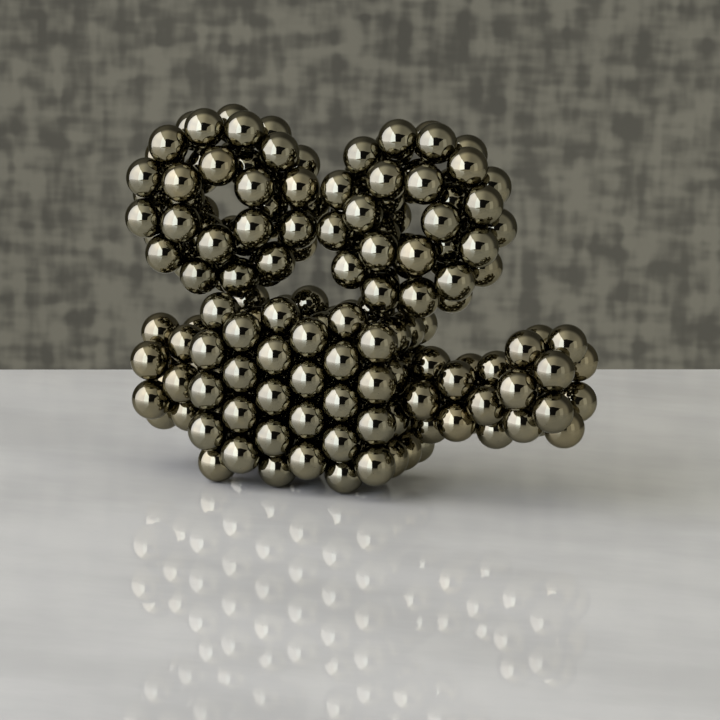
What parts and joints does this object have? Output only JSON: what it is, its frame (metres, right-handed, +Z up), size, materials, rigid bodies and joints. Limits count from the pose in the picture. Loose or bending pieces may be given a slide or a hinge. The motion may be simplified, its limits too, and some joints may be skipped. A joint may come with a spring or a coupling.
{
  "type": "magnetic desk sculpture",
  "caption": "Desk sculpture of a film camera built from polished magnetic balls, with a looped body, film reels, an eyepiece and a hooded lens.",
  "frame": {"origin": "on the table, under the middle of the whole sculpture", "axes": "+X along the body from the eyepiece to the lens, +Y from the front face to the back, +Z up"},
  "size_m": [0.0604, 0.0202, 0.0461],
  "materials": {
    "body_balls": "mirror-polished nickel plate",
    "reel_balls": "mirror-polished nickel plate",
    "eyepiece_balls": "mirror-polished nickel plate",
    "lens_balls": "mirror-polished nickel plate"
  },
  "bodies": {
    "body_front": {"body_front_loop_1": "body_balls", "body_front_loop_2": "body_balls", "body_front_loop_3": "body_balls", "body_front_loop_4": "body_balls", "body_front_loop_5": "body_balls", "body_front_loop_6": "body_balls"},
    "body_back": {"body_back_loop_1": "body_balls", "body_back_loop_2": "body_balls", "body_back_loop_3": "body_balls", "body_back_loop_4": "body_balls", "body_back_loop_5": "body_balls", "body_back_loop_6": "body_balls"},
    "left_reel": {"left_reel_rim_front": "reel_balls", "left_reel_rim_back": "reel_balls", "left_reel_core_front": "reel_balls", "left_reel_core_middle": "reel_balls", "left_reel_core_back": "reel_balls"},
    "right_reel": {"right_reel_rim_front": "reel_balls", "right_reel_rim_back": "reel_balls", "right_reel_core_front": "reel_balls", "right_reel_core_middle": "reel_balls", "right_reel_core_back": "reel_balls"},
    "eyepiece": {"eyepiece_inner_ring": "eyepiece_balls", "eyepiece_outer_ring": "eyepiece_balls"},
    "lens_tube": {"lens_tube_ring_1": "lens_balls", "lens_tube_ring_2": "lens_balls", "lens_tube_ring_3": "lens_balls"},
    "lens_hood": {"lens_hood_inner_ring": "lens_balls", "lens_hood_outer_ring": "lens_balls"}
  },
  "joints": [
    {"name": "back_half_pull", "type": "slide", "parent": "body_front", "child": "body_back", "axis": [0, 1, 0], "range_m": [0, 0.02]},
    {"name": "left_reel_lift", "type": "slide", "parent": "body_front", "child": "left_reel", "axis": [-0.5, 0, 0.866], "range_m": [0, 0.02]},
    {"name": "right_reel_lift", "type": "slide", "parent": "body_front", "child": "right_reel", "axis": [0.5, 0, 0.866], "range_m": [0, 0.02]},
    {"name": "eyepiece_pull", "type": "slide", "parent": "body_front", "child": "eyepiece", "axis": [-1, 0, 0], "range_m": [0, 0.015]},
    {"name": "lens_tube_pull", "type": "slide", "parent": "body_front", "child": "lens_tube", "axis": [1, 0, 0], "range_m": [0, 0.02]},
    {"name": "lens_hood_pull", "type": "slide", "parent": "lens_tube", "child": "lens_hood", "axis": [1, 0, 0], "range_m": [0, 0.015]}
  ]
}
